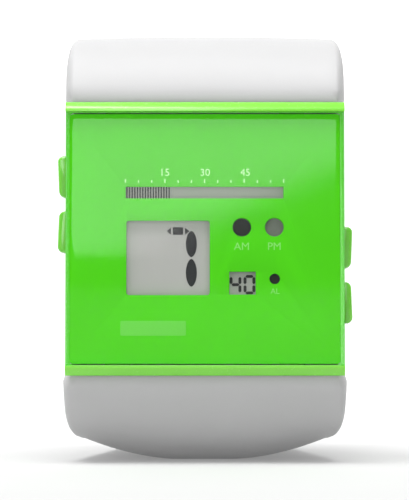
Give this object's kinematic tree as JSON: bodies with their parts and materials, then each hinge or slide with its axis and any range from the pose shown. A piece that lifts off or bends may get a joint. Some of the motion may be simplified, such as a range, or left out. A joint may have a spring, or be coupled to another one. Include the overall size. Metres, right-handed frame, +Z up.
{
  "type": "wrist-worn round timer",
  "caption": "Digital round timer worn on the wrist: square case with display windows and side buttons, on a wide moulded strap with a pin buckle.",
  "frame": {"origin": "middle of the bounding box in plan, on the floor that the lower strap rests on", "axes": "+Z up, -Y the way the face looks, +X to the right of someone who faces the display"},
  "size_m": [0.0402, 0.069, 0.0588],
  "materials": {
    "green_plastic": "glossy, slightly translucent",
    "clear_lens": "clear, glossy",
    "face_print": "printed green, with pale marks",
    "display": "grey display glass",
    "film": "pale film",
    "strap_rubber": "satin, off-white",
    "steel": "brushed",
    "brass": "plain",
    "board": "solder mask",
    "seal_rubber": "matte",
    "frame_plastic": "moulded",
    "epoxy": "glob of epoxy"
  },
  "bodies": {
    "case": {"case_housing": "green_plastic", "crystal_lens": "clear_lens", "face_mask": "face_print", "lcd_panel": "display", "backlight_film": "film", "zebra_strip_upper": "seal_rubber", "zebra_strip_lower": "seal_rubber", "circuit_board": "board", "module_frame": "frame_plastic", "timer_chip": "epoxy", "quartz_can": "steel", "coin_cell": "steel", "battery_clip": "steel", "piezo_disc": "brass", "buzzer_spring": "steel", "key_contact_left": "brass", "key_contact_right": "brass", "case_back": "steel", "back_gasket": "seal_rubber", "back_screw_1": "steel", "back_screw_2": "steel", "back_screw_3": "steel", "back_screw_4": "steel", "spring_bar_upper": "steel", "spring_bar_lower": "steel", "button_spring_upper_left": "steel", "button_spring_lower_left": "steel", "button_spring_upper_right": "steel", "button_spring_lower_right": "steel"},
    "button_upper_left": {"button_upper_left": "green_plastic", "button_seal_upper_left": "seal_rubber", "button_clip_upper_left": "steel"},
    "button_lower_left": {"button_lower_left": "green_plastic", "button_seal_lower_left": "seal_rubber", "button_clip_lower_left": "steel"},
    "button_upper_right": {"button_upper_right": "green_plastic", "button_seal_upper_right": "seal_rubber", "button_clip_upper_right": "steel"},
    "button_lower_right": {"button_lower_right": "green_plastic", "button_seal_lower_right": "seal_rubber", "button_clip_lower_right": "steel"},
    "strap_upper": {"strap_upper": "strap_rubber", "buckle_spring_bar": "steel"},
    "strap_lower": {"strap_lower": "strap_rubber"},
    "buckle_frame": {"buckle_frame": "steel"},
    "buckle_tongue": {"buckle_tongue": "steel"},
    "keeper": {"keeper_loop": "strap_rubber"}
  },
  "joints": [
    {"name": "upper_left_push", "type": "slide", "parent": "case", "child": "button_upper_left", "axis": [1, 0, 0], "range_m": [0, 0.00055], "stiffness_N_per_m": 1200, "springref_m": -0.0002, "deforming": ["button_spring_upper_left"]},
    {"name": "lower_left_push", "type": "slide", "parent": "case", "child": "button_lower_left", "axis": [1, 0, 0], "range_m": [0, 0.00055], "stiffness_N_per_m": 1200, "springref_m": -0.0002, "deforming": ["button_spring_lower_left"]},
    {"name": "upper_right_push", "type": "slide", "parent": "case", "child": "button_upper_right", "axis": [-1, 0, 0], "range_m": [0, 0.00055], "stiffness_N_per_m": 1200, "springref_m": -0.0002, "deforming": ["button_spring_upper_right"]},
    {"name": "lower_right_push", "type": "slide", "parent": "case", "child": "button_lower_right", "axis": [-1, 0, 0], "range_m": [0, 0.00055], "stiffness_N_per_m": 1200, "springref_m": -0.0002, "deforming": ["button_spring_lower_right"]},
    {"name": "upper_strap_hinge", "type": "hinge", "parent": "case", "child": "strap_upper", "pos_m": [0, -0.0269, 0.04967], "axis": [1, 0, 0], "range_deg": [0, 30]},
    {"name": "lower_strap_hinge", "type": "hinge", "parent": "case", "child": "strap_lower", "pos_m": [0, -0.02959, 0.01118], "axis": [-1, 0, 0], "range_deg": [0, 30]},
    {"name": "buckle_hinge", "type": "hinge", "parent": "strap_upper", "child": "buckle_frame", "pos_m": [0, 0.00534, 0.01655], "axis": [1, 0, 0], "range_deg": [-45, 45]},
    {"name": "tongue_hinge", "type": "hinge", "parent": "buckle_frame", "child": "buckle_tongue", "pos_m": [0, 0.00534, 0.01655], "axis": [1, 0, 0], "range_deg": [0, 70]},
    {"name": "keeper_slide", "type": "slide", "parent": "strap_upper", "child": "keeper", "axis": [0, 0, 1], "range_m": [-0.003, 0.003]}
  ]
}
